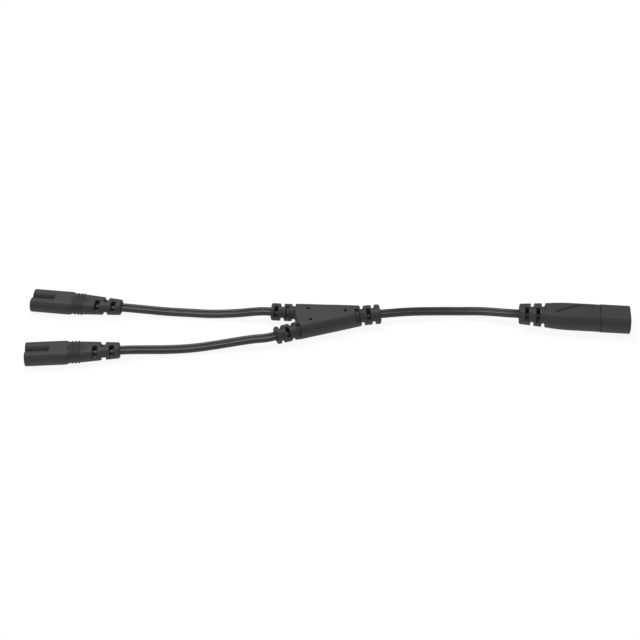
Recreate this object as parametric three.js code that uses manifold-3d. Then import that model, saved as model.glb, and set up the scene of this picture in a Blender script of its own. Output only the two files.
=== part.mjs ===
// A power cord splitter: one two-pin plug feeds two figure-8 sockets
// through a moulded Y junction and three short flat twin cords.
//
// Millimetres. +X runs from the sockets to the plug, +Z is up, and the
// splitter lies on the plane z = 0. Each moulding is drawn in a frame of its
// own, along X with its axis at y = 0, z = 0, and is then turned into place.

import * as THREE from "three";
import { mergeVertices } from "three/addons/utils/BufferGeometryUtils.js";
import Module from "manifold-3d";

const wasm = await Module();
wasm.setup();

// Driving dimensions: fits
const seatGap = 0.25; // all round a piece that is moulded in
const cordGap = 0.3; // between a cord's end and the relief that it enters
const overrun = 1; // how far a cutter runs past the face that it opens

// Driving dimensions: twin cord
const coreDiameter = 2.9;
const coreOverlap = 0.2; // of the two cores, which joins them along the middle
const strandDiameter = 1.0;
const strippedLength = 3; // bare strand between a core and its crimp
const coreBendLength = 10.5; // over which two cores spread to their contacts
const strandHold = 2.5; // length of strand inside the core and inside the crimp
const bendFacets = 4; // along each bend of a core

// Driving dimensions: pins and contacts
const pinPitch = 8.6;
const pinDiameter = 2.4;
const pinLength = 10.2; // from the shroud's floor to the tip
const contactWall = 0.25;
const contactLength = 10.5;
const contactSlitWidth = 0.6;
const crimpWall = 0.25;
const crimpLength = 4;

// Driving dimensions: strain reliefs
// Each relief is a ladder of slots at one pitch, counted from where its cord enters
const slotReach = 0.4; // how far a slot runs past the middle of its relief
const socketSlots = { count: 3, first: 2.9, pitch: 4.3, width: 2.4 };
const branchSlots = { count: 4, shallow: 2, first: 2, pitch: 3, width: 1.9 };
const trunkSlots = { count: 4, shallow: 1, first: 2.6, pitch: 2.95, width: 2 };
const plugSlots = { count: 4, first: 3.1, pitch: 2.9, width: 1.8 };
const shallowDepth = 1.1;
const reliefEdge = 0.5;

// Driving dimensions: sockets
const noseWidth = 15;
const noseHeight = 7.7;
const noseLength = 23;
const noseEdge = 0.4;
const valleyLength = 12.5;
const valleyDepth = 1.25;
const valleyRunOut = 1.2;
const ribCount = 3;
const ribPitch = 1.8;
const ribHeight = 0.45;
const gripWidth = 13.1;
const gripHeight = 7;
const gripDip = 0.8; // how far the ribs dip between the two lobes
const socketTaperLength = 20.3;
const socketEndWidth = 9.3;
const socketEndHeight = 6.8;
const insertLength = 16.5;
const insertWall = 0.55;
const insertWebHeight = 2.4;
const entryLength = 1.2;
const entryDiameter = 2.9;

// Driving dimensions: junction
const branchAngle = 12.5;
const branchLength = 46; // from the point where the branches meet to their ends
const branchBend = -38; // where its cores begin to bend to their splices
const branchWidth = 10;
const branchHeight = 8.2;
const blockHeight = 9.7;
const blockBackWidth = 24.6;
const blockFrontWidth = 12;
const blockBack = 33.3; // from that point back to the wide end
const blockFront = 1.7; // from that point on to the narrow end
const trunkLength = 10.2;
const trunkWidth = 11.6;
const trunkHeight = 8.8;
const carrierBack = 27;
const carrierFront = 3;
const carrierBackWidth = 13;
const carrierFrontWidth = 9;
const carrierHeight = 8;
const carrierWeb = 0.9;
const pocketWidth = 6.6;
const pocketFront = 9.5;
const spliceLength = 7;
const splicePlace = 15;
const spliceWall = 0.25;
const locatorDiameter = 1.5;
const locatorBack = 25.8;
const locatorSpread = 9.1;
const locatorFront = 6.6;

// Driving dimensions: plug
const reliefEndWidth = 12;
const reliefEndHeight = 9.2;
const reliefLength = 13.4;
const bodyBackWidth = 14.8;
const bodyBackHeight = 9.7;
const bodyWidth = 17;
const bodyHeight = 10.2;
const bodyFlareLength = 13;
const bodyLength = 29.2;
const bodyEdge = 0.35;
const shroudLength = 15.6;
const shroudWidth = 17.4;
const shroudHeight = 10.6;
const shroudWall = 1.05;
const shroudDepth = 13.6;
const shroudEdge = 0.35;
const rootWidth = 13.4;
const rootHeight = 6.2;
const rootLength = 8;
const pinTail = 2.5; // from the root's back face to the pin's cup
const labelWidth = 8.8;
const labelDepth = 0.35;
const labelLength = 17;
const labelMargin = 3; // from the seam to the panel

// Where each moulding lies, and its turn about +Z in degrees
const upperSocketPlace = { x: -158.9, y: 22.2, turn: -7.3 };
const lowerSocketPlace = { x: -156.6, y: -22, turn: 3.8 };
const junctionPlace = { x: 15.4, y: 7.8, turn: 8 };
const plugPlace = { x: 101, y: 9.1, turn: -5 };

// The cords' routes between their straight ends, rightwards
const cordLead = 4;
const upperCordRoute = [
  [-97, 15.0, 3.2],
  [-87, 14.5, 2.4],
  [-75, 14.0, 1.9],
  [-62, 13.2, 1.8],
  [-49.5, 12.8, 2.6],
];
const lowerCordRoute = [
  [-94, -17.1, 2.9],
  [-84, -16.2, 2.2],
  [-71, -14.6, 1.8],
  [-57, -12.6, 2.6],
  [-48.5, -11.5, 3.5],
  [-40, -10.5, 4.3],
];
const rightCordRoute = [
  [43.5, 12.1, 4.2],
  [56, 13.6, 3.3],
  [69, 14.1, 2.9],
  [81.5, 13.3, 3.5],
];
const cordStep = 6;

// Derived sizes
const coreRadius = coreDiameter / 2;
const coreSpacing = coreDiameter - coreOverlap;
const strandRadius = strandDiameter / 2;
const contactRadius = pinDiameter / 2 + contactWall;
const crimpBore = strandRadius + seatGap;
const crimpRadius = crimpBore + crimpWall;
const insertBore = contactRadius + seatGap;
const insertRadius = insertBore + insertWall;
const socketLength = noseLength + ribCount * ribPitch + socketTaperLength;
const socketAxisHeight = gripHeight / 2 + ribHeight; // its ribs are what it lies on
const seamPlace = reliefLength + bodyLength;
const plugLength = seamPlace + shroudLength;
const { degToRad: radians, lerp: mix, smoothstep } = THREE.MathUtils;
const sides = [1, -1]; // +Y and -Y, which the view from the front has far and near
const sideName = (side) => (side > 0 ? "far" : "near");
const ascending = (...ends) => ends.sort((a, b) => a - b);

// Geometry to solid and back

function toSolid(geometry) {
  const bare = geometry.clone();
  bare.deleteAttribute("normal");
  bare.deleteAttribute("uv");
  const merged = mergeVertices(bare, 1e-5);
  const corners = merged.index.array;
  const kept = [];
  for (let first = 0; first < corners.length; first += 3) {
    const [a, b, c] = corners.slice(first, first + 3);
    if (a !== b && b !== c && c !== a) kept.push(a, b, c);
  }
  return new wasm.Manifold(new wasm.Mesh({
    numProp: 3,
    vertProperties: new Float32Array(merged.attributes.position.array),
    triVerts: new Uint32Array(kept),
  }));
}

function toGeometry(solid) {
  const mesh = solid.getMesh();
  const geometry = new THREE.BufferGeometry();
  geometry.setAttribute("position", new THREE.BufferAttribute(mesh.vertProperties, 3));
  geometry.setIndex(new THREE.BufferAttribute(mesh.triVerts, 1));
  return geometry;
}

function join(forms) {
  return toGeometry(forms.map(toSolid).reduce((whole, solid) => whole.add(solid)));
}

function cut(form, cutters) {
  return toGeometry(cutters.map(toSolid).reduce((rest, solid) => rest.subtract(solid), toSolid(form)));
}

// Forms

function box(low, high) {
  const size = high.map((end, axis) => end - low[axis]);
  const geometry = new THREE.BoxGeometry(...size);
  return geometry.translate(...high.map((end, axis) => (end + low[axis]) / 2));
}

// A turned piece about X, from its profile of [x, radius] points
function revolve(profile, facets) {
  const points = profile.map(([x, radius]) => new THREE.Vector2(radius, x));
  return new THREE.LatheGeometry(points, facets).rotateZ(-Math.PI / 2);
}

function rod(start, end, radius, facets, y = 0, z = 0) {
  const profile = [[start, 0], [start, radius], [end, radius], [end, 0]];
  return revolve(profile, facets).translate(0, y, z);
}

// A flat oval with round sides. The dip hollows its flats between the sides.
function ovalSection({ width, height, dip = 0 }, roundSteps, flatSteps) {
  const radius = height / 2;
  const reach = Math.max((width - height) / 2, 0.01);
  const points = [];
  for (const side of [1, -1]) {
    for (let step = 0; step <= roundSteps; step += 1) {
      const angle = (-side * Math.PI) / 2 + (Math.PI * step) / roundSteps;
      points.push([side * reach + radius * Math.cos(angle), radius * Math.sin(angle)]);
    }
    for (let step = 1; step < flatSteps; step += 1) {
      const y = side * reach * (1 - (2 * step) / flatSteps);
      const hollow = (dip * (1 + Math.cos((Math.PI * y) / reach))) / 2;
      points.push([y, side * (radius - hollow)]);
    }
  }
  return points;
}

// A skin through a row of sections along X, closed at both ends
function loft(stations) {
  const flatSteps = stations.some(({ dip }) => dip) ? 6 : 1;
  const rings = stations.map((station) => ovalSection(station, 8, flatSteps));
  const count = rings[0].length;
  const position = [];
  rings.forEach((ring, row) => ring.forEach(([y, z]) => position.push(stations[row].x, y, z)));
  const back = rings.length * count;
  const front = back + 1;
  position.push(stations[0].x, 0, 0, stations[rings.length - 1].x, 0, 0);
  const index = [];
  for (let side = 0; side < count; side += 1) {
    const next = (side + 1) % count;
    index.push(back, next, side);
    for (let row = 0; row < rings.length - 1; row += 1) {
      const near = row * count;
      const far = near + count;
      index.push(near + side, near + next, far + next, near + side, far + next, far + side);
    }
    const last = back - count;
    index.push(front, last + side, last + next);
  }
  const geometry = new THREE.BufferGeometry();
  geometry.setAttribute("position", new THREE.Float32BufferAttribute(position, 3));
  geometry.setIndex(index);
  return geometry;
}

// An oval bar with its end edges taken off
function ovalBar(from, to, start, end, edge) {
  const trim = (size) => ({ width: size.width - 2 * edge, height: size.height - 2 * edge });
  return loft([
    { x: from, ...trim(start) },
    { x: from + edge, ...start },
    { x: to - edge, ...end },
    { x: to, ...trim(end) },
  ]);
}

// Frames that keep a section upright along a line
function framesAlong(tangents) {
  const up = new THREE.Vector3(0, 0, 1);
  const normals = tangents.map((tangent) => up.clone().cross(tangent).normalize());
  const binormals = tangents.map((tangent, place) => tangent.clone().cross(normals[place]));
  return { tangents, normals, binormals };
}

// A line that leaves one straight run and bends over into another
class BendPath extends THREE.Curve {
  constructor(start, end, bend) {
    super();
    this.start = start;
    this.end = end;
    this.bend = bend;
  }

  pointAt(x) {
    const { start, end, bend } = this;
    const blend = smoothstep(x, bend[0], bend[1]);
    const y = start.y + (start.slope ?? 0) * (x - start.x);
    return new THREE.Vector3(x, mix(y, end.y, blend), mix(start.z ?? 0, end.z ?? 0, blend));
  }

  getPoint(t) {
    return this.pointAt(mix(this.start.x, this.end.x, t));
  }

  // Both ends, and points between them only where the line bends
  getSpacedPoints() {
    const [low, high] = this.bend;
    const bent = Array.from({ length: bendFacets + 1 }, (_, point) => (
      mix(low, high, point / bendFacets)
    ));
    const inner = bent.filter((x) => x > this.start.x && x < this.end.x);
    return [this.start.x, ...inner, this.end.x].map((x) => this.pointAt(x));
  }

  computeFrenetFrames() {
    const points = this.getSpacedPoints();
    const tangents = points.map((point, place) => {
      const before = points[Math.max(place - 1, 0)];
      const after = points[Math.min(place + 1, points.length - 1)];
      return after.clone().sub(before).normalize();
    });
    return framesAlong(tangents);
  }
}

function sweep(path, radius, facets) {
  const ring = new THREE.Shape();
  for (let facet = 0; facet < facets; facet += 1) {
    const angle = (2 * Math.PI * facet) / facets;
    const point = [radius * Math.cos(angle), radius * Math.sin(angle)];
    if (facet === 0) ring.moveTo(...point);
    else ring.lineTo(...point);
  }
  const steps = path.getSpacedPoints().length - 1;
  return new THREE.ExtrudeGeometry(ring, { steps, extrudePath: path });
}

const core = (path) => sweep(path, coreRadius, 8);

// The room around a core, whose flats lie at the clearance
const coreRoom = (path) => sweep(path, (coreRadius + seatGap) / Math.cos(Math.PI / 8), 8);

// Slots of a relief whose cord enters at the end given, and whose body lies
// inwards of it. Each slot is open over one quarter of the section, above on
// one side and below on the other, and the next slot takes the other quarters,
// so that quarter bars are left to bend. The innermost ones can be shallow.
function slotCuts(slots, { end, inwards, side, width, height }) {
  return Array.from({ length: slots.count }).flatMap((_, rung) => sides.map((up) => {
    const reach = slots.first + rung * slots.pitch;
    const x = ascending(end + inwards * reach, end + inwards * (reach + slots.width));
    const toSide = side * up * (rung % 2 ? -1 : 1);
    const y = ascending(-slotReach * toSide, toSide * width);
    const z = ascending(0, up * height);
    const quarter = box([x[0], y[0], z[0]], [x[1], y[1], z[1]]);
    if (rung < slots.count - (slots.shallow ?? 0)) return quarter;
    const middle = { width: width - 2 * shallowDepth, height: height - 2 * shallowDepth };
    return cut(quarter, [loft(x.map((place) => ({ x: place, ...middle })))]);
  }));
}

// Materials

const finishes = {
  overmould: { color: 0x3b3a3d, roughness: 0.62, metalness: 0 },
  insert: { color: 0x2c2b2e, roughness: 0.5, metalness: 0 },
  cord: { color: 0x38373a, roughness: 0.42, metalness: 0 },
  brass: { color: 0xb8934f, roughness: 0.35, metalness: 1 },
  nickel: { color: 0xc9c7c1, roughness: 0.25, metalness: 1 },
  copper: { color: 0xb46a45, roughness: 0.4, metalness: 1 },
};

function piece(name, form, finish) {
  const geometry = toGeometry(toSolid(form));
  geometry.computeVertexNormals();
  const mesh = new THREE.Mesh(geometry, new THREE.MeshStandardMaterial(finishes[finish]));
  mesh.name = name;
  return mesh;
}

function placed({ x, y, turn }, z, meshes) {
  const group = new THREE.Group();
  group.position.set(x, y, z);
  group.rotation.z = radians(turn);
  group.add(...meshes);
  return group;
}

// Sockets: x = 0 is the mouth, and the cord leaves at x = socketLength

function socketSkin() {
  const nose = { width: noseWidth, height: noseHeight };
  const trimmed = { width: noseWidth - 2 * noseEdge, height: noseHeight - 2 * noseEdge };
  const stations = [
    { x: 0, ...trimmed, dip: valleyDepth },
    { x: noseEdge, ...nose, dip: valleyDepth },
    { x: valleyLength - valleyRunOut, ...nose, dip: valleyDepth },
    { x: valleyLength, ...nose },
    { x: noseLength - ribPitch, ...nose },
  ];
  const grip = { width: gripWidth, height: gripHeight, dip: gripDip };
  const crest = {
    width: gripWidth + 2 * ribHeight,
    height: gripHeight + 2 * ribHeight,
    dip: gripDip,
  };
  for (let rib = 0; rib < ribCount; rib += 1) {
    const x = noseLength + rib * ribPitch;
    stations.push(
      { x: x + 0.25 * ribPitch, ...grip },
      { x: x + 0.5 * ribPitch, ...crest },
      { x: x + 0.75 * ribPitch, ...crest },
    );
  }
  const gripEnd = noseLength + ribCount * ribPitch;
  const end = { width: socketEndWidth, height: socketEndHeight };
  stations.push(
    { x: gripEnd, ...grip },
    { x: gripEnd + 2 * ribPitch, ...mixSize(grip, end, (2 * ribPitch) / socketTaperLength) },
    { x: socketLength - reliefEdge, ...end },
    { x: socketLength, width: end.width - 2 * reliefEdge, height: end.height - 2 * reliefEdge },
  );
  return loft(stations);
}

function mixSize(start, end, share) {
  return {
    width: mix(start.width, end.width, share),
    height: mix(start.height, end.height, share),
  };
}

// Two round barrels and the web that joins them
function insertForm(radius, webHeight, from, to) {
  const halfPitch = pinPitch / 2;
  const web = box([from, -halfPitch, -webHeight / 2], [to, halfPitch, webHeight / 2]);
  return join([web, ...sides.map((side) => rod(from, to, radius, 16, side * halfPitch))]);
}

function contact() {
  const sleeveEnd = entryLength + seatGap + contactLength;
  const crimpStart = sleeveEnd + contactRadius - crimpRadius;
  const end = crimpStart + crimpLength;
  const mouth = entryLength + seatGap;
  const profile = [
    [mouth, pinDiameter / 2],
    [mouth, contactRadius],
    [sleeveEnd, contactRadius],
    [crimpStart, crimpRadius],
    [end, crimpRadius],
    [end, crimpBore],
    [crimpStart, crimpBore],
    [sleeveEnd - contactWall, pinDiameter / 2],
    [mouth, pinDiameter / 2],
  ];
  const turned = revolve(profile, 12);
  const slit = box(
    [mouth - overrun, -contactSlitWidth / 2, -contactRadius - overrun],
    [sleeveEnd - 2, contactSlitWidth / 2, contactRadius + overrun],
  );
  return { form: cut(turned, [slit]), end };
}

function socket(prefix, place) {
  const halfPitch = pinPitch / 2;
  const { form: contactForm, end: contactEnd } = contact();
  const coreEnd = contactEnd + strippedLength;
  const strandStart = contactEnd - strandHold;
  const strandEnd = coreEnd + strandHold;
  const bendStart = coreEnd + strandHold + seatGap;
  const bend = [bendStart, bendStart + coreBendLength];
  const corePath = (side, from, to) => new BendPath(
    { x: from, y: side * halfPitch },
    { x: to, y: (side * coreSpacing) / 2 },
    bend,
  );
  const cores = sides.map((side) => core(corePath(side, coreEnd, socketLength)));
  const coreRooms = sides.map((side) => coreRoom(
    corePath(side, insertLength - overrun, socketLength + overrun),
  ));
  const strandBores = sides.map((side) => rod(
    coreEnd - overrun,
    strandEnd + seatGap,
    strandRadius + seatGap,
    8,
    side * halfPitch,
  ));
  const relief = {
    end: socketLength,
    inwards: -1,
    side: -1,
    width: socketEndWidth,
    height: socketEndHeight,
  };
  const insertRoom = insertForm(
    insertRadius + seatGap,
    insertWebHeight + 2 * seatGap,
    -overrun,
    insertLength + seatGap,
  );
  const body = cut(socketSkin(), [
    insertRoom,
    ...coreRooms,
    ...slotCuts(socketSlots, relief),
  ]);
  const insert = cut(insertForm(insertRadius, insertWebHeight, 0, insertLength), [
    ...sides.map((side) => rod(-overrun, insertLength, entryDiameter / 2, 16, side * halfPitch)),
    ...sides.map((side) => rod(entryLength, insertLength + overrun, insertBore, 16, side * halfPitch)),
  ]);
  const meshes = [
    piece(`${prefix}_body`, body, "overmould"),
    piece(`${prefix}_insert`, insert, "insert"),
    piece(`${prefix}_cord_end`, cut(join(cores), strandBores), "cord"),
  ];
  for (const side of sides) {
    const y = side * halfPitch;
    const strand = rod(strandStart, strandEnd, strandRadius, 8, y);
    meshes.push(
      piece(`${prefix}_contact_${sideName(side)}`, contactForm.clone().translate(0, y, 0), "brass"),
      piece(`${prefix}_strand_${sideName(side)}`, strand, "copper"),
    );
  }
  return placed(place, socketAxisHeight, meshes);
}

// Junction: x = 0 is where the branches' axes meet, and the trunk leaves at +X

const spliceBore = strandDiameter + 1.5 * seatGap;
const spliceRadius = spliceBore + spliceWall;
const layerHeight = carrierWeb / 2 + seatGap + spliceRadius; // of both splices
const trunkEnd = blockFront + trunkLength;
const spliceBack = -splicePlace - spliceLength / 2;
const spliceFront = -splicePlace + spliceLength / 2;

// One core of a branch's cord. It leaves the branch's axis for a splice above
// or below the carrier's web.
function branchCorePath(branch, up, from, to) {
  const slope = -branch * Math.tan(radians(branchAngle));
  const aside = (up * coreSpacing) / 2 / Math.cos(radians(branchAngle));
  return new BendPath(
    { x: from, y: slope * from + aside, slope },
    { x: to, y: branch * (coreRadius + seatGap), z: up * layerHeight },
    [branchBend, spliceBack - strippedLength - strandHold - seatGap],
  );
}

function trunkCorePath(up, from, to) {
  const bendStart = spliceFront + strippedLength + strandHold + seatGap;
  return new BendPath(
    { x: from, y: 0, z: up * layerHeight },
    { x: to, y: (up * coreSpacing) / 2 },
    [bendStart, bendStart + coreBendLength],
  );
}

function splice(up) {
  const profile = [
    [spliceBack, spliceBore],
    [spliceFront, spliceBore],
    [spliceFront, spliceRadius],
    [spliceBack, spliceRadius],
    [spliceBack, spliceBore],
  ];
  return revolve(profile.reverse(), 16).translate(0, 0, up * layerHeight);
}

// A bar of H section, narrower to the front, that holds the two splices apart
function carrier() {
  const plan = new THREE.Shape();
  plan.moveTo(-carrierBack, -carrierBackWidth / 2);
  plan.lineTo(-carrierFront, -carrierFrontWidth / 2);
  plan.lineTo(-carrierFront, carrierFrontWidth / 2);
  plan.lineTo(-carrierBack, carrierBackWidth / 2);
  const bar = new THREE.ExtrudeGeometry(plan, { depth: carrierHeight, bevelEnabled: false });
  const pockets = sides.map((up) => {
    const z = [(up * carrierWeb) / 2, up * carrierHeight].sort((a, b) => a - b);
    return box(
      [-carrierBack - overrun, -pocketWidth / 2, z[0]],
      [-pocketFront, pocketWidth / 2, z[1]],
    );
  });
  return { bar: bar.translate(0, 0, -carrierHeight / 2), pockets };
}

function carrierRoom() {
  const gap = 2 * seatGap;
  const plan = new THREE.Shape();
  plan.moveTo(-carrierBack - seatGap, -(carrierBackWidth + gap) / 2);
  plan.lineTo(-carrierFront + seatGap, -(carrierFrontWidth + gap) / 2);
  plan.lineTo(-carrierFront + seatGap, (carrierFrontWidth + gap) / 2);
  plan.lineTo(-carrierBack - seatGap, (carrierBackWidth + gap) / 2);
  const depth = carrierHeight + gap;
  const room = new THREE.ExtrudeGeometry(plan, { depth, bevelEnabled: false });
  return room.translate(0, 0, -depth / 2);
}

function locators() {
  const places = [
    [-locatorBack, locatorSpread / 2],
    [-locatorBack, -locatorSpread / 2],
    [-locatorFront, 0],
  ];
  const start = carrierHeight / 2;
  return places.flatMap(([x, y]) => sides.map((up) => {
    const hole = rod(start, blockHeight, locatorDiameter / 2, 8);
    return hole.rotateY((-up * Math.PI) / 2).translate(x, y, 0);
  }));
}

function junction(place) {
  const turnBranch = (form, branch) => form.rotateZ(radians(-branch * branchAngle));
  const branchSize = { width: branchWidth, height: branchHeight };
  const trunkSize = { width: trunkWidth, height: trunkHeight };
  const block = ovalBar(
    -blockBack,
    blockFront,
    { width: blockBackWidth, height: blockHeight },
    { width: blockFrontWidth, height: blockHeight },
    reliefEdge,
  );
  const branches = sides.map((branch) => turnBranch(
    ovalBar(-branchLength, -blockBack + branchWidth / 2, branchSize, branchSize, reliefEdge),
    branch,
  ));
  const trunk = ovalBar(blockFront - trunkWidth / 2, trunkEnd, trunkSize, trunkSize, reliefEdge);
  const branchCuts = (branch) => slotCuts(
    branchSlots,
    { end: -branchLength, inwards: 1, side: -branch, ...branchSize },
  ).map((form) => turnBranch(form, branch));
  const trunkCuts = slotCuts(
    trunkSlots,
    { end: trunkEnd, inwards: -1, side: 1, ...trunkSize },
  );

  const coreEnd = spliceBack - strippedLength;
  const branchStart = -branchLength * Math.cos(radians(branchAngle));
  const branchRooms = sides.flatMap((branch) => sides.map((up) => coreRoom(
    branchCorePath(branch, up, branchStart - overrun, spliceBack),
  )));
  const trunkRooms = sides.map((up) => coreRoom(
    trunkCorePath(up, spliceFront, trunkEnd + overrun),
  ));
  const body = cut(join([block, ...branches, trunk]), [
    carrierRoom(),
    ...branchRooms,
    ...trunkRooms,
    ...sides.flatMap(branchCuts),
    ...trunkCuts,
    ...locators(),
  ]);
  const { bar, pockets } = carrier();
  const meshes = [
    piece("junction_body", body, "overmould"),
    piece("junction_carrier", cut(bar, [...pockets, ...branchRooms, ...trunkRooms]), "insert"),
  ];

  for (const up of sides) {
    const layer = up > 0 ? "top" : "bottom";
    meshes.push(piece(`junction_splice_${layer}`, splice(up), "brass"));
    const trunkStrand = rod(
      spliceFront - strandHold,
      spliceFront + strippedLength + strandHold,
      strandRadius,
      8,
      0,
      up * layerHeight,
    );
    meshes.push(piece(`junction_strand_plug_${layer}`, trunkStrand, "copper"));
    for (const branch of sides) {
      const strandPath = new BendPath(
        { x: coreEnd - strandHold, y: branch * (coreRadius + seatGap), z: up * layerHeight },
        {
          x: spliceBack + strandHold,
          y: (branch * (strandDiameter + seatGap)) / 2,
          z: up * layerHeight,
        },
        [coreEnd, spliceBack],
      );
      const name = `junction_strand_${sideName(branch)}_${layer}`;
      meshes.push(piece(name, sweep(strandPath, strandRadius, 6), "copper"));
    }
  }

  const strandBore = (from, to, y, up) => rod(
    from,
    to,
    strandRadius + seatGap,
    8,
    y,
    up * layerHeight,
  );
  for (const branch of sides) {
    const cores = sides.map((up) => core(branchCorePath(branch, up, branchStart, coreEnd)));
    const y = branch * (coreRadius + seatGap);
    const bores = sides.map((up) => strandBore(
      coreEnd - strandHold - seatGap,
      coreEnd + overrun,
      y,
      up,
    ));
    const name = `junction_cord_end_${sideName(branch)}`;
    meshes.push(piece(name, cut(join(cores), bores), "cord"));
  }
  const trunkCoreEnd = spliceFront + strippedLength;
  const trunkCores = sides.map((up) => core(trunkCorePath(up, trunkCoreEnd, trunkEnd)));
  const trunkBores = sides.map((up) => strandBore(
    trunkCoreEnd - overrun,
    trunkCoreEnd + strandHold + seatGap,
    0,
    up,
  ));
  meshes.push(piece("junction_cord_end_plug", cut(join(trunkCores), trunkBores), "cord"));
  return placed(place, blockHeight / 2, meshes);
}

// Plug: x = 0 is where the cord enters, and the shroud's rim is at plugLength

function plugSkin() {
  const end = { width: reliefEndWidth, height: reliefEndHeight };
  const back = { width: bodyBackWidth, height: bodyBackHeight };
  const full = { width: bodyWidth, height: bodyHeight };
  const flare = [0.25, 0.5, 0.75, 1].map((share) => ({
    x: reliefLength + share * bodyFlareLength,
    ...mixSize(back, full, Math.sin((share * Math.PI) / 2)),
  }));
  return loft([
    { x: 0, width: end.width - 2 * reliefEdge, height: end.height - 2 * reliefEdge },
    { x: reliefEdge, ...end },
    { x: reliefLength, ...back },
    ...flare,
    { x: seamPlace - seatGap - bodyEdge, ...full },
    {
      x: seamPlace - seatGap,
      width: full.width - 2 * bodyEdge,
      height: full.height - 2 * bodyEdge,
    },
  ]);
}

// A shallow panel in the top face, slanted where it meets the flare
function labelPanel() {
  const front = seamPlace - labelMargin;
  const back = front - labelLength;
  const half = labelWidth / 2;
  const plan = new THREE.Shape();
  plan.moveTo(front, -half);
  plan.lineTo(front, half);
  plan.lineTo(back + labelLength / 2, half);
  plan.quadraticCurveTo(back, half / 2, back, -half / 2);
  plan.quadraticCurveTo(back, -half, back + half, -half);
  const geometry = new THREE.ExtrudeGeometry(plan, {
    depth: bodyHeight,
    bevelEnabled: false,
    curveSegments: 6,
  });
  return geometry.translate(0, 0, bodyHeight / 2 - labelDepth);
}

function shroud() {
  const outside = { width: shroudWidth, height: shroudHeight };
  const inside = { width: shroudWidth - 2 * shroudWall, height: shroudHeight - 2 * shroudWall };
  const root = { width: rootWidth, height: rootHeight };
  const tube = ovalBar(seamPlace, plugLength, outside, outside, shroudEdge);
  const rootBar = ovalBar(seamPlace - rootLength, seamPlace + overrun, root, root, shroudEdge);
  const cavity = loft([
    { x: plugLength - shroudDepth, ...inside },
    { x: plugLength - shroudEdge, ...inside },
    { x: plugLength + overrun, width: inside.width + 2 * overrun, height: inside.height + 2 * overrun },
  ]);
  const bores = sides.map((side) => rod(
    seamPlace - rootLength - overrun,
    plugLength - shroudDepth + overrun,
    pinDiameter / 2 + seatGap,
    16,
    (side * pinPitch) / 2,
  ));
  return cut(join([tube, rootBar]), [cavity, ...bores]);
}

function plugPin(back) {
  const radius = pinDiameter / 2;
  const tip = plugLength - shroudDepth + pinLength;
  const cup = strandRadius + seatGap;
  const profile = [
    [back + strandHold + seatGap, 0],
    [back + strandHold + seatGap, cup],
    [back, cup],
    [back, radius],
    [tip - radius, radius],
    [tip - radius / 2, 0.87 * radius],
    [tip - radius / 8, 0.48 * radius],
    [tip, 0],
  ];
  return revolve(profile, 12);
}

function plug(place) {
  const halfPitch = pinPitch / 2;
  const pinBack = seamPlace - rootLength - pinTail;
  const coreEnd = pinBack - strippedLength;
  const bendEnd = coreEnd - strandHold - seatGap;
  const bend = [bendEnd - coreBendLength, bendEnd];
  const corePath = (side, from, to) => new BendPath(
    { x: from, y: (side * coreSpacing) / 2 },
    { x: to, y: side * halfPitch },
    bend,
  );
  const cores = sides.map((side) => core(corePath(side, 0, coreEnd)));
  const coreRooms = sides.map((side) => coreRoom(
    corePath(side, -overrun, seamPlace - rootLength + overrun),
  ));
  const strandBores = sides.map((side) => rod(
    coreEnd - strandHold - seatGap,
    coreEnd + overrun,
    strandRadius + seatGap,
    8,
    side * halfPitch,
  ));
  const relief = {
    end: 0,
    inwards: 1,
    side: -1,
    width: bodyBackWidth,
    height: bodyBackHeight,
  };
  const room = { width: rootWidth + 2 * seatGap, height: rootHeight + 2 * seatGap };
  const rootRoom = loft([
    { x: seamPlace - rootLength - seatGap, ...room },
    { x: seamPlace + overrun, ...room },
  ]);
  const body = cut(plugSkin(), [
    rootRoom,
    ...coreRooms,
    ...slotCuts(plugSlots, relief),
    labelPanel(),
  ]);
  const meshes = [
    piece("plug_body", body, "overmould"),
    piece("plug_shroud", shroud(), "insert"),
    piece("plug_cord_end", cut(join(cores), strandBores), "cord"),
  ];
  for (const side of sides) {
    const y = side * halfPitch;
    const strand = rod(coreEnd - strandHold, pinBack + strandHold, strandRadius, 8, y);
    meshes.push(
      piece(`plug_pin_${sideName(side)}`, plugPin(pinBack).translate(0, y, 0), "nickel"),
      piece(`plug_strand_${sideName(side)}`, strand, "copper"),
    );
  }
  return placed(place, shroudHeight / 2, meshes);
}

// Free cords

// A smooth line through a cord's points, along which its flat side stays level
class LevelCurve extends THREE.CatmullRomCurve3 {
  computeFrenetFrames(steps) {
    const places = Array.from({ length: steps + 1 }, (_, step) => step / steps);
    return framesAlong(places.map((place) => this.getTangentAt(place)));
  }
}

// Two round cores and the waist between them, in twelve corners
function twinSection() {
  const section = new THREE.Shape();
  const waist = 0.55 * coreRadius;
  const points = [[0, -waist]];
  for (const side of sides) {
    for (const turn of [-120, -60, 0, 60, 120]) {
      const angle = radians(side > 0 ? turn : turn + 180);
      const x = (side * coreSpacing) / 2 + coreRadius * Math.cos(angle);
      points.push([x, coreRadius * Math.sin(angle)]);
    }
    if (side > 0) points.push([0, waist]);
  }
  points.forEach(([x, y], corner) => (corner ? section.lineTo(x, y) : section.moveTo(x, y)));
  return section;
}

// A point on a placed moulding's axis, in the splitter's frame
function onAxis({ x, y, turn }, along, z, aside = 0) {
  const angle = radians(turn);
  return new THREE.Vector3(
    x + along * Math.cos(angle) - aside * Math.sin(angle),
    y + along * Math.sin(angle) + aside * Math.cos(angle),
    z,
  );
}

function freeCord(name, start, route, end) {
  const points = [...start, ...route.map((point) => new THREE.Vector3(...point)), ...end];
  const curve = new LevelCurve(points);
  const steps = Math.round(curve.getLength() / cordStep);
  const form = new THREE.ExtrudeGeometry(twinSection(), { steps, extrudePath: curve });
  return piece(name, form, "cord");
}

function socketExit(place) {
  return [cordGap, cordLead].map((out) => onAxis(place, socketLength + out, socketAxisHeight));
}

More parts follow.
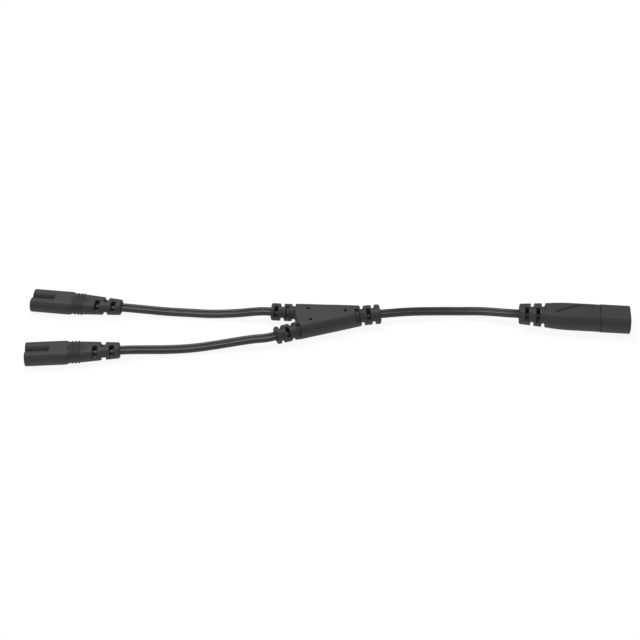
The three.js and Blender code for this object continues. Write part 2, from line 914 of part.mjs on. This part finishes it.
function branchExit(branch) {
  const angle = radians(branchAngle);
  return [cordLead, cordGap].map((out) => onAxis(
    junctionPlace,
    -(branchLength + out) * Math.cos(angle),
    blockHeight / 2,
    branch * (branchLength + out) * Math.sin(angle),
  ));
}

function cords() {
  const trunkExit = [cordGap, cordLead].map((out) => onAxis(
    junctionPlace,
    trunkEnd + out,
    blockHeight / 2,
  ));
  const plugExit = [cordLead, cordGap].map((out) => onAxis(plugPlace, -out, shroudHeight / 2));
  return [
    freeCord("cord_upper", socketExit(upperSocketPlace), upperCordRoute, branchExit(1)),
    freeCord("cord_lower", socketExit(lowerSocketPlace), lowerCordRoute, branchExit(-1)),
    freeCord("cord_plug", trunkExit, rightCordRoute, plugExit),
  ];
}

const splitter = new THREE.Group();
splitter.add(
  socket("socket_upper", upperSocketPlace),
  socket("socket_lower", lowerSocketPlace),
  junction(junctionPlace),
  plug(plugPlace),
  ...cords(),
);

export default splitter;
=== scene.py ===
# %% [markdown]
# # A figure-8 power cord splitter
#
# The object is a short Y-shaped lead: one two-pin plug on the right, a flat
# moulded junction, and two figure-8 sockets on the left. Soft black PVC is
# moulded over everything, so the looks rest on three things: how the skin is
# rounded, how its satin surface scatters light, and how the flat twin cord
# bends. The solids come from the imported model, in metres, and everything here
# is placed in the same frame.

import math

import bpy
from mathutils import Matrix, Vector
from mathutils.geometry import interpolate_bezier


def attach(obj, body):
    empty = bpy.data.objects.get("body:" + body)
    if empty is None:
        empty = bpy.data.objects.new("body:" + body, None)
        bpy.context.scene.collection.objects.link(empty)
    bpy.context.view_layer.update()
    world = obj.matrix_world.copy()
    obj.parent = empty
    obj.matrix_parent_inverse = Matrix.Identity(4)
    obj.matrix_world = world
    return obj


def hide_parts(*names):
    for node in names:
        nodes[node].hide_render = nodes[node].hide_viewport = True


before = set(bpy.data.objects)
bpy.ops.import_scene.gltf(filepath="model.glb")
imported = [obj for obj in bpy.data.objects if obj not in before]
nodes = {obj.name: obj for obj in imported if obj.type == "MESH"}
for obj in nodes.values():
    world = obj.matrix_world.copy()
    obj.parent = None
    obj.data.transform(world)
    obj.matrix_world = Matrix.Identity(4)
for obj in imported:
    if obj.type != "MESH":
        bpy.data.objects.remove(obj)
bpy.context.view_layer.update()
print("nodes:", len(nodes))

# %% [markdown]
# ## The camera
#
# The photograph looks along +Y and 40 degrees down, from far enough away that
# the lead hardly tapers with distance. An 85 mm lens on a 36 mm sensor at
# 0.8 m gives the same width of view. The camera is aimed at the middle of the
# lead, a few millimetres above the surface it lies on.

# %% Camera
VIEW_CENTRE = Vector((-0.0046, 0.0055, 0.004))
VIEW_ELEVATION = math.radians(40)
VIEW_DISTANCE = 0.8

camera_data = bpy.data.cameras.new("camera")
camera_data.lens = 85
camera_data.sensor_width = 36
camera_data.clip_start = 0.01
camera = bpy.data.objects.new("camera", camera_data)
bpy.context.collection.objects.link(camera)
backwards = Vector((0, -math.cos(VIEW_ELEVATION), math.sin(VIEW_ELEVATION)))
camera.location = VIEW_CENTRE + backwards * VIEW_DISTANCE
camera.rotation_euler = backwards.to_track_quat("Z", "Y").to_euler()
bpy.context.scene.camera = camera
print("camera at", [round(c, 3) for c in camera.location])

# %% [markdown]
# ## The free cords
#
# Each cord is a flat twin lead: two round cores side by side with a thin web
# between them, 5.6 mm wide and 2.9 mm high. The photograph shows all three
# from end to end, so their lengths are what lies between the mouldings.
# A curve is the natural tool. Its points are the cord's route, a closed
# figure-8 outline is swept along it as its bevel object, and the Z-Up twist
# keeps the flat side level. The curve is then converted to a mesh.

# %% The cords' routes
CORE_RADIUS = 0.00145
CORE_OFFSET = 0.00135
CORD_LEAD = 0.004

SOCKET_LENGTH = 0.0487
BRANCH_LENGTH = 0.046
BRANCH_ANGLE = math.radians(12.5)
TRUNK_END = 0.0119
UPPER_SOCKET = (-0.1589, 0.0222, 0.00395, math.radians(-7.3))
LOWER_SOCKET = (-0.1566, -0.0220, 0.00395, math.radians(3.8))
JUNCTION = (0.0154, 0.0078, 0.00485, math.radians(8))
PLUG = (0.1010, 0.0091, 0.0053, math.radians(-5))


def on_axis(place, along, aside=0.0):
    """A point on a moulding's own axis, in the splitter's frame."""
    x, y, z, turn = place
    return Vector((
        x + along * math.cos(turn) - aside * math.sin(turn),
        y + along * math.sin(turn) + aside * math.cos(turn),
        z,
    ))


def branch_exit(side, out):
    along = BRANCH_LENGTH + out
    return on_axis(
        JUNCTION,
        -along * math.cos(BRANCH_ANGLE),
        side * along * math.sin(BRANCH_ANGLE),
    )


upper_route = [
    on_axis(UPPER_SOCKET, SOCKET_LENGTH),
    on_axis(UPPER_SOCKET, SOCKET_LENGTH + CORD_LEAD),
    Vector((-0.0970, 0.0150, 0.0032)),
    Vector((-0.0870, 0.0145, 0.0024)),
    Vector((-0.0750, 0.0140, 0.0019)),
    Vector((-0.0620, 0.0132, 0.0018)),
    Vector((-0.0495, 0.0128, 0.0026)),
    branch_exit(1, CORD_LEAD),
    branch_exit(1, 0),
]
lower_route = [
    on_axis(LOWER_SOCKET, SOCKET_LENGTH),
    on_axis(LOWER_SOCKET, SOCKET_LENGTH + CORD_LEAD),
    Vector((-0.0940, -0.0171, 0.0029)),
    Vector((-0.0840, -0.0162, 0.0022)),
    Vector((-0.0710, -0.0146, 0.0018)),
    Vector((-0.0570, -0.0126, 0.0026)),
    Vector((-0.0485, -0.0115, 0.0035)),
    Vector((-0.0400, -0.0105, 0.0043)),
    branch_exit(-1, CORD_LEAD),
    branch_exit(-1, 0),
]
plug_route = [
    on_axis(JUNCTION, TRUNK_END),
    on_axis(JUNCTION, TRUNK_END + CORD_LEAD),
    Vector((0.0435, 0.0121, 0.0042)),
    Vector((0.0560, 0.0136, 0.0033)),
    Vector((0.0690, 0.0141, 0.0029)),
    Vector((0.0815, 0.0133, 0.0035)),
    on_axis(PLUG, -CORD_LEAD),
    on_axis(PLUG, 0),
]
print("route points:", len(upper_route), len(lower_route), len(plug_route))


# %% The cord's outline and its sweep
def deselect_all():
    if bpy.context.object and bpy.context.object.mode != "OBJECT":
        bpy.ops.object.mode_set(mode="OBJECT")
    bpy.ops.object.select_all(action="DESELECT")


def twin_outline():
    """The cord's section, as a closed flat curve."""
    reach = math.acos(1 - (CORE_OFFSET / CORE_RADIUS) ** 2 / 2) * 0.62
    points = []
    for side in (1, -1):
        for step in range(25):
            angle = (-math.pi + reach) + step / 24 * (2 * math.pi - 2 * reach)
            x = side * CORE_OFFSET + CORE_RADIUS * math.cos(angle) * side
            y = CORE_RADIUS * math.sin(angle) * side
            if abs(x) > 0.0001:
                points.append((x, y, 0.0))
    data = bpy.data.curves.new("twin_outline", "CURVE")
    data.dimensions = "2D"
    spline = data.splines.new("POLY")
    spline.points.add(len(points) - 1)
    for point, (x, y, z) in zip(spline.points, points):
        point.co = (x, y, z, 1)
    spline.use_cyclic_u = True
    outline = bpy.data.objects.new("twin_outline", data)
    bpy.context.collection.objects.link(outline)
    return outline


def centre_line(spline, pieces_each=8):
    points = []
    knots = spline.bezier_points
    for first, second in zip(knots, knots[1:]):
        points += interpolate_bezier(
            first.co, first.handle_right, second.handle_left, second.co, pieces_each + 1
        )[:-1]
    return points + [knots[-1].co.copy()]


def sweep_cord(name, route, outline):
    data = bpy.data.curves.new(name, "CURVE")
    data.dimensions = "3D"
    data.resolution_u = 12
    data.twist_mode = "Z_UP"
    data.use_fill_caps = True
    data.bevel_mode = "OBJECT"
    data.bevel_object = outline
    spline = data.splines.new("BEZIER")
    spline.bezier_points.add(len(route) - 1)
    for knot, place in zip(spline.bezier_points, route):
        knot.co = place
        knot.handle_left_type = knot.handle_right_type = "AUTO"
    cord = bpy.data.objects.new(name, data)
    bpy.context.collection.objects.link(cord)
    bpy.context.view_layer.update()
    path = centre_line(spline)
    deselect_all()
    bpy.context.view_layer.objects.active = cord
    cord.select_set(True)
    bpy.ops.object.convert(target="MESH")
    cord = bpy.context.object
    bpy.ops.object.shade_smooth()
    return cord, path


outline = twin_outline()
cords = {}
for name, node, route in (
    ("cord_upper_lead", "cord_upper", upper_route),
    ("cord_lower_lead", "cord_lower", lower_route),
    ("cord_plug_lead", "cord_plug", plug_route),
):
    cord, path = sweep_cord(name, route, outline)
    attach(cord, "root")
    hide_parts(node)
    cords[node] = cord
bpy.data.objects.remove(outline)

# %% [markdown]
# ## Moulded skins
#
# The mouldings are soft PVC, injected round the parts in a steel mould, so
# every edge is a small radius and no facet shows. The solids are exact but
# faceted. A copy of each solid is merged, remeshed into fine even voxels and
# relaxed, which turns its facets into one smooth skin and gives each edge the
# radius of the mould. Subdivision alone would pull the slots of the strain
# reliefs out of shape.
#
# Two places need more wall than the solids have: the plug's skin, which runs
# up to a seam that is only a faint line, and the junction's waist, where the
# moulding closes over the inner carrier. There a wall is laid into the copy
# before it is remeshed, and the voxels melt the two together.


# %% A moulding's own frame
MM = 0.001


def own_frame(place):
    """The matrix from a moulding's own frame to the splitter's."""
    x, y, z, turn = place
    return Matrix.Translation((x, y, z)) @ Matrix.Rotation(turn, 4, "Z")


def oval_ring(x, width, height, sides=(1, -1), steps=48):
    """A flat oval with round sides, across a moulding's axis, in millimetres."""
    radius = height / 2
    reach = (width - height) / 2
    ring = []
    for side in sides:
        for step in range(steps + 1):
            angle = -side * math.pi / 2 + math.pi * step / steps
            y = side * reach + radius * math.cos(angle)
            ring.append((x * MM, y * MM, radius * math.sin(angle) * MM))
    return ring


def placed_mesh(name, place, corners, faces):
    mesh = bpy.data.meshes.new(name)
    mesh.from_pydata(corners, [], faces)
    mesh.transform(own_frame(place))
    piece = bpy.data.objects.new(name, mesh)
    bpy.context.collection.objects.link(piece)
    return piece


def oval_shell(name, place, stations, wall):
    """A closed tube of oval sections, given as (x, width, height)."""
    outer = [oval_ring(*station) for station in stations]
    inner = [oval_ring(x, width - 2 * wall, height - 2 * wall) for x, width, height in stations]
    rings = outer + inner[::-1]
    count = len(rings[0])
    corners = [point for ring in rings for point in ring]
    faces = []
    for row in range(len(rings)):
        here, there = row * count, (row + 1) % len(rings) * count
        for step in range(count):
            after = (step + 1) % count
            faces.append((here + step, here + after, there + after, there + step))
    return placed_mesh(name, place, corners, faces)


def side_wall(name, place, stations, wall, side):
    """A wall that follows one round side of an oval, between two stations."""
    rings = []
    for x, width, height in stations:
        outer = oval_ring(x, width, height, (side,))
        inner = oval_ring(x, width - 2 * wall, height - 2 * wall, (side,))
        rings.append(outer + inner[::-1])
    count = len(rings[0])
    faces = [
        (step, (step + 1) % count, count + (step + 1) % count, count + step)
        for step in range(count)
    ]
    faces += [tuple(range(count))[::-1], tuple(range(count, 2 * count))]
    return placed_mesh(name, place, rings[0] + rings[1], faces)


def select_only(*pieces):
    deselect_all()
    for piece in pieces:
        piece.select_set(True)
    bpy.context.view_layer.objects.active = pieces[0]


# %% Fine skins
def moulded_skin(node, name, voxel, relax, added=()):
    """A smooth copy of a solid, which stands in its place."""
    skin = bpy.data.objects.new(name, nodes[node].data.copy())
    bpy.context.collection.objects.link(skin)
    select_only(skin, *added)
    if added:
        bpy.ops.object.join()
    bpy.ops.object.mode_set(mode="EDIT")
    bpy.ops.mesh.select_all(action="SELECT")
    bpy.ops.mesh.remove_doubles(threshold=1e-7)
    bpy.ops.mesh.normals_make_consistent(inside=False)
    bpy.ops.object.mode_set(mode="OBJECT")
    remesh = skin.modifiers.new("voxels", "REMESH")
    remesh.mode = "VOXEL"
    remesh.voxel_size = voxel
    remesh.adaptivity = 0
    soften = skin.modifiers.new("mould radius", "SMOOTH")
    soften.factor = 0.5
    soften.iterations = relax
    for modifier in list(skin.modifiers):
        bpy.ops.object.modifier_apply(modifier=modifier.name)
    bpy.ops.object.shade_smooth()
    skin.data.materials.clear()
    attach(skin, "root")
    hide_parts(node)
    print(name, len(skin.data.polygons), "faces")
    return skin


# %% Skins of the five mouldings
WAIST_BACK, WAIST_FRONT = -13.0, -2.3
BLOCK_HEIGHT = 9.7
BLOCK_BACK, BLOCK_BACK_WIDTH = -32.8, 24.6
BLOCK_FRONT_WIDTH, BLOCK_LENGTH = 12, 34
BLOCK_TAPER = (BLOCK_FRONT_WIDTH - BLOCK_BACK_WIDTH) / BLOCK_LENGTH


def block_width(x):
    """The junction block's width along its axis, in millimetres."""
    return BLOCK_BACK_WIDTH + BLOCK_TAPER * (x - BLOCK_BACK)


waist = [
    side_wall(
        f"waist_{side}",
        JUNCTION,
        [(x, block_width(x), BLOCK_HEIGHT) for x in (WAIST_BACK, WAIST_FRONT)],
        wall=0.6,
        side=side,
    )
    for side in (1, -1)
]
PLUG_FRONT = 42.52
plug_wall = oval_shell(
    "plug_wall",
    PLUG,
    [
        (16.65, 15.64, 9.89),
        (19.9, 16.36, 10.05),
        (23.15, 16.83, 10.16),
        (26.4, 17, 10.2),
        (PLUG_FRONT, 17, 10.2),
    ],
    wall=1.2,
)
shroud_wall = oval_shell("shroud_wall", PLUG, [(42.6, 17.4, 10.6), (44, 17.4, 10.6)], wall=0.9)
socket_skins = [
    moulded_skin("socket_upper_body", "socket_upper_skin", 0.00022, 4),
    moulded_skin("socket_lower_body", "socket_lower_skin", 0.00022, 4),
]
junction_skin = moulded_skin(
    "junction_body", "junction_skin", 0.00027, 3, added=waist
)
plug_skin = moulded_skin("plug_body", "plug_skin", 0.00025, 3, added=[plug_wall])
shroud_skin = moulded_skin(
    "plug_shroud", "plug_shroud_skin", 0.00024, 3, added=[shroud_wall]
)

# %% [markdown]
# ## Shaping the skins
#
# With an even mesh of fine faces, a soft form can be pressed in as a thumb
# would press it into clay: each point moves by a rule in the moulding's own
# frame. The sockets get the deep valley between their two lobes and sharper
# grooves between the grip ribs, and the plug gets its sunken label panel with
# the slanted end. The panel stays bare.


# %% Rules for each form
def shape(skin, place, form):
    """Moves a skin's points by a rule written in the moulding's own frame."""
    skin.data.transform(own_frame(place).inverted())
    for vertex in skin.data.vertices:
        form(vertex.co)
    skin.data.transform(own_frame(place))
    skin.data.update()


def ease(value):
    share = min(max(value, 0.0), 1.0)
    return share * share * (3 - 2 * share)


VALLEY_END = 12.5 * MM
VALLEY_RUN_OUT = 1.2 * MM
SHALLOW_VALLEY = 1.25 * MM
DEEP_VALLEY = 2.1 * MM


def press_valley(point):
    """Makes the shallow hollow into two round lobes with a valley."""
    reach, half, floor = 3.65 * MM, 3.85 * MM, 1.5 * MM
    height = abs(point.z)
    if abs(point.y) > reach or height < floor or point.x > VALLEY_END:
        return
    bowl = (1 + math.cos(math.pi * point.y / reach)) / 2
    ramp = min((VALLEY_END - point.x) / VALLEY_RUN_OUT, 1)
    surface = half - SHALLOW_VALLEY * bowl * ramp
    lobe = math.sqrt(half**2 - (reach - abs(point.y)) ** 2)
    valley = max(lobe, half - DEEP_VALLEY)
    pressed = surface + (valley - surface) * ease(ramp)
    share = (pressed - floor) / (surface - floor)
    point.z = math.copysign(floor + (height - floor) * share, point.z)


GRIP_START = 23
RIB_PITCH = 1.8


def cut_grooves(point):
    """Deepens the grooves beside the grip ribs."""
    along = (point.x / MM - GRIP_START) / RIB_PITCH
    if 0 < along < 3.25:
        groove = (1 + math.cos(2 * math.pi * (along - 0.125))) / 2
        point.y *= 1 - 0.022 * groove
        point.z *= 1 - 0.045 * groove


PANEL = [(39.6, 4.4), (30.4, 4.4), (18.1, -2.4), (25.7, -4.4), (39.6, -4.4)]
PANEL_FLOOR = 4.4
PANEL_SLOPE = 0.3


def press_panel(point):
    """Sinks the label panel into the plug's top."""
    if point.z < 4.2 * MM:
        return
    inside = min(
        ((y1 - y2) * (point.x / MM - x1) + (x2 - x1) * (point.y / MM - y1))
        / math.hypot(x2 - x1, y2 - y1)
        for (x1, y1), (x2, y2) in zip(PANEL, PANEL[1:] + PANEL[:1])
    )
    drop = max(point.z - PANEL_FLOOR * MM, 0)
    point.z -= drop * ease(inside / PANEL_SLOPE)


for skin, place in zip(socket_skins, (UPPER_SOCKET, LOWER_SOCKET)):
    shape(skin, place, press_valley)
    shape(skin, place, cut_grooves)
shape(plug_skin, PLUG, press_panel)
print("valleys, grooves and panel pressed in")

# %% [markdown]
# ## What shows through the openings
#
# Inside the sockets' mouths sits a hard insert with two entry holes. The cord's
# two cores show through the windows of every strain relief, so they get the
# same fine skin. The junction's carrier is a plain H-shaped bar, taken in so
# that it stays inside its moulding.

# %% Inserts, cord ends and carrier
insert_skins = [
    moulded_skin(f"socket_{name}_insert", f"socket_{name}_inlay", 0.00024, 2)
    for name in ("upper", "lower")
]
cord_end_skins = [
    moulded_skin(node, f"{node}_jacket", 0.0003, 4)
    for node in nodes
    if "cord_end" in node
]
carrier_bar = moulded_skin("junction_carrier", "junction_carrier_bar", 0.0003, 2)


def slim_carrier(point):
    """Takes the carrier in, more at its front, so that the moulding covers it."""
    share = ease((point.x / MM + 27) / 24)
    point.z *= 0.8
    point.y *= 1 - 0.14 * share


shape(carrier_bar, JUNCTION, slim_carrier)
print("inner pieces:", len(insert_skins) + len(cord_end_skins) + 1)

# %% [markdown]
# ## The plug's pins
#
# Each pin is turned brass, 2.4 mm thick, with a round nose that finds its
# contact. A cylinder is added at its size, and the edge of its front face is
# bevelled in eight steps into a round nose.


# %% Pins
PIN_RADIUS = 1.2
PIN_BACK = 32.1
PIN_TIP = 54.8
PIN_OFFSET = 4.3


def turned_pin(node, side):
    deselect_all()
    bpy.ops.mesh.primitive_cylinder_add(
        vertices=48,
        radius=PIN_RADIUS * MM,
        depth=(PIN_TIP - PIN_BACK) * MM,
        rotation=(0, math.pi / 2, 0),
        location=((PIN_TIP + PIN_BACK) / 2 * MM, side * PIN_OFFSET * MM, 0),
    )
    pin = bpy.context.object
    pin.name = f"{node}_turned"
    bpy.ops.object.transform_apply(location=True, rotation=True, scale=True)
    mesh = pin.data
    front = max(vertex.co.x for vertex in mesh.vertices)
    bpy.ops.object.mode_set(mode="EDIT")
    bpy.ops.mesh.select_all(action="DESELECT")
    bpy.ops.object.mode_set(mode="OBJECT")
    for edge in mesh.edges:
        edge.select = all(mesh.vertices[v].co.x > front - 1e-6 for v in edge.vertices)
    bpy.ops.object.mode_set(mode="EDIT")
    bpy.ops.mesh.select_mode(type="EDGE")
    bpy.ops.mesh.bevel(offset=0.9 * MM, segments=8, profile=0.5)
    bpy.ops.object.mode_set(mode="OBJECT")
    mesh.transform(own_frame(PLUG))
    bpy.ops.object.shade_smooth_by_angle(angle=math.radians(40))
    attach(pin, "root")
    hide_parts(node)
    print(pin.name, len(mesh.polygons), "faces")
    return pin


pins = [turned_pin("plug_pin_far", 1), turned_pin("plug_pin_near", -1)]

# %% [markdown]
# ## Materials
#
# Colours are written as sRGB hex values, and one function turns them to
# linear. A second function adds a node with its settings and links, so that
# each material reads as a short recipe.


# %% Material helpers
def linear(hex_colour):
    channels = [int(hex_colour[i:i + 2], 16) / 255 for i in (1, 3, 5)]
    return [
        c / 12.92 if c <= 0.04045 else ((c + 0.055) / 1.055) ** 2.4 for c in channels
    ] + [1.0]


def add(tree, kind, settings=None, links=None):
    """Adds a node, sets its inputs and properties, and links its inputs."""
    node = tree.nodes.new(kind)
    for key, value in (settings or {}).items():
        if isinstance(key, int) or key in node.inputs:
            node.inputs[key].default_value = value
        else:
            setattr(node, key, value)
    for key, source in (links or {}).items():
        tree.links.new(source, node.inputs[key])
    return node


def new_material(name):
    material = bpy.data.materials.new(name)
    material.use_nodes = True
    tree = material.node_tree
    tree.nodes.clear()
    shader = add(tree, "ShaderNodeBsdfPrincipled")
    add(tree, "ShaderNodeOutputMaterial", links={"Surface": shader.outputs["BSDF"]})
    return material, tree, shader


def use_material(piece, material):
    piece.data.materials.clear()
    piece.data.materials.append(material)


# %% [markdown]
# ### Soft PVC overmould
#
# The mould's walls are spark-eroded, which leaves a fine even grain of about
# 0.05 mm on the part. It is what makes the black read as a soft charcoal. It
# is drawn here at 0.16 mm so that it shows. The pigment is faintly cloudy.


# %% Overmould material
def overmould_material(name, tone, cloud_tone):
    material, tree, shader = new_material(name)
    place = add(tree, "ShaderNodeTexCoord").outputs["Object"]
    cloud = add(
        tree,
        "ShaderNodeTexNoise",
        {"Scale": 260.0, "Detail": 3.0, "Roughness": 0.5},
        {"Vector": place},
    )
    colour = add(
        tree,
        "ShaderNodeMix",
        {"data_type": "RGBA", 6: linear(tone), 7: linear(cloud_tone)},
        {0: cloud.outputs["Fac"]},
    )
    tree.links.new(colour.outputs[2], shader.inputs["Base Color"])
    grain = add(
        tree,
        "ShaderNodeTexNoise",
        {"Scale": 6200.0, "Detail": 2.0, "Roughness": 0.6},
        {"Vector": place},
    )
    gloss = add(
        tree,
        "ShaderNodeMapRange",
        {"To Min": 0.52, "To Max": 0.68},
        {"Value": grain.outputs["Fac"]},
    )
    tree.links.new(gloss.outputs["Result"], shader.inputs["Roughness"])
    bump = add(
        tree,
        "ShaderNodeBump",
        {"Strength": 0.35, "Distance": 0.00003},
        {"Height": grain.outputs["Fac"]},
    )
    tree.links.new(bump.outputs["Normal"], shader.inputs["Normal"])
    shader.inputs["IOR"].default_value = 1.53
    return material


soft_pvc = overmould_material("moulded_soft_pvc", "#2e2c2e", "#353335")
hard_shell = overmould_material("moulded_hard_pvc", "#302e31", "#373537")
for skin in socket_skins + [junction_skin, plug_skin]:
    use_material(skin, soft_pvc)
use_material(shroud_skin, hard_shell)

# %% [markdown]
# ### Cord jacket
#
# The same PVC, but extruded rather than moulded: the die leaves it smoother
# and glossier, with a faint unevenness of about a millimetre.


# %% Cord material
def jacket_material():
    material, tree, shader = new_material("extruded_pvc_jacket")
    place = add(tree, "ShaderNodeTexCoord").outputs["Object"]
    drift = add(
        tree,
        "ShaderNodeTexNoise",
        {"Scale": 900.0, "Detail": 2.0},
        {"Vector": place},
    )
    colour = add(
        tree,
        "ShaderNodeMix",
        {"data_type": "RGBA", 6: linear("#2a282a"), 7: linear("#302e30")},
        {0: drift.outputs["Fac"]},
    )
    tree.links.new(colour.outputs[2], shader.inputs["Base Color"])
    gloss = add(
        tree,
        "ShaderNodeMapRange",
        {"To Min": 0.33, "To Max": 0.4},
        {"Value": drift.outputs["Fac"]},
    )
    tree.links.new(gloss.outputs["Result"], shader.inputs["Roughness"])
    bump = add(
        tree,
        "ShaderNodeBump",
        {"Strength": 0.12, "Distance": 0.00002},
        {"Height": drift.outputs["Fac"]},
    )
    tree.links.new(bump.outputs["Normal"], shader.inputs["Normal"])
    shader.inputs["IOR"].default_value = 1.53
    return material


jacket = jacket_material()
for cord in cords.values():
    use_material(cord, jacket)
for skin in cord_end_skins:
    use_material(skin, jacket)

# %% [markdown]
# ### Metals and inserts
#
# The pins are brass with bright nickel, turned with fine rings. The contacts
# are pressed brass, the strands bare copper. A metal keeps the default IOR,
# because its colour is all in its base colour.


# %% Metal materials
def metal_material(name, tone, roughness_low, roughness_high, scale):
    material, tree, shader = new_material(name)
    place = add(tree, "ShaderNodeTexCoord").outputs["Object"]
    stretch = add(tree, "ShaderNodeMapping", {"Scale": (scale, scale * 0.1, scale * 0.1)})
    tree.links.new(place, stretch.inputs["Vector"])
    rings = add(
        tree,
        "ShaderNodeTexNoise",
        {"Scale": 1.0, "Detail": 2.0},
        {"Vector": stretch.outputs["Vector"]},
    )
    gloss = add(
        tree,
        "ShaderNodeMapRange",
        {"To Min": roughness_low, "To Max": roughness_high},
        {"Value": rings.outputs["Fac"]},
    )
    tree.links.new(gloss.outputs["Result"], shader.inputs["Roughness"])
    shader.inputs["Base Color"].default_value = linear(tone)
    shader.inputs["Metallic"].default_value = 1.0
    return material


nickel = metal_material("bright_nickel_plate", "#cbc8c2", 0.16, 0.3, 9000)
brass = metal_material("pressed_brass", "#c9a45c", 0.28, 0.42, 4000)
copper = metal_material("bare_copper_strand", "#c0764f", 0.35, 0.5, 3000)
insert_nylon = overmould_material("moulded_insert_nylon", "#29282b", "#2f2e31")
for piece in pins:
    use_material(piece, nickel)
for piece in insert_skins + [carrier_bar]:
    use_material(piece, insert_nylon)
for name, node in nodes.items():
    if "contact" in name or "splice" in name:
        use_material(node, brass)
    elif "strand" in name:
        use_material(node, copper)
print("materials:", len(bpy.data.materials))

# %% [markdown]
# ## Floor and light
#
# A white sweep of paper, with a large soft lamp above and behind and a weak one
# in front. To the camera and in reflections the paper mostly glows white, and
# the rest keeps the faint shadow that shows the lead lying on it.


# %% Floor
WHITE_SHARE = 0.85


def white_floor():
    bpy.ops.mesh.primitive_plane_add(size=6, location=(0, 0, -0.00005))
    floor = bpy.context.object
    floor.name = "floor"
    material, tree, shader = new_material("white_paper")
    shader.inputs["Base Color"].default_value = (0.93, 0.93, 0.93, 1)
    shader.inputs["Roughness"].default_value = 0.9
    rays = add(tree, "ShaderNodeLightPath").outputs
    seen = rays["Is Camera Ray"]
    for ray in ("Is Glossy Ray", "Is Transmission Ray"):
        seen = add(
            tree, "ShaderNodeMath", {"operation": "MAXIMUM"}, {0: seen, 1: rays[ray]}
        ).outputs["Value"]
    share = add(tree, "ShaderNodeMath", {"operation": "MULTIPLY", 1: WHITE_SHARE}, {0: seen})
    glow = add(tree, "ShaderNodeEmission", {"Color": (1, 1, 1, 1), "Strength": 1.06})
    paper = add(
        tree,
        "ShaderNodeMixShader",
        links={0: share.outputs["Value"], 1: shader.outputs["BSDF"], 2: glow.outputs["Emission"]},
    )
    output = next(node for node in tree.nodes if node.type == "OUTPUT_MATERIAL")
    tree.links.new(paper.outputs["Shader"], output.inputs["Surface"])
    use_material(floor, material)


deselect_all()
white_floor()
world = bpy.data.worlds.new("studio")
bpy.context.scene.world = world
world.use_nodes = True
world.node_tree.nodes["Background"].inputs["Color"].default_value = (1, 1, 1, 1)
world.node_tree.nodes["Background"].inputs["Strength"].default_value = 0.36


def soft_lamp(name, size, energy, place, aim):
    data = bpy.data.lights.new(name, "AREA")
    data.shape = "SQUARE"
    data.size = size
    data.energy = energy
    lamp = bpy.data.objects.new(name, data)
    lamp.location = place
    direction = Vector(aim) - Vector(place)
    lamp.rotation_euler = direction.to_track_quat("-Z", "Y").to_euler()
    bpy.context.collection.objects.link(lamp)


soft_lamp("overhead_lamp", 0.55, 5.0, (-0.15, 0.45, 0.9), (0, 0, 0))
soft_lamp("front_lamp", 0.8, 1.2, (-0.3, -0.8, 0.6), (0, 0, 0))
print("lamps placed")

# %% [markdown]
# ## Settings

# %% Finish
scene = bpy.context.scene
scene.view_settings.view_transform = "Standard"
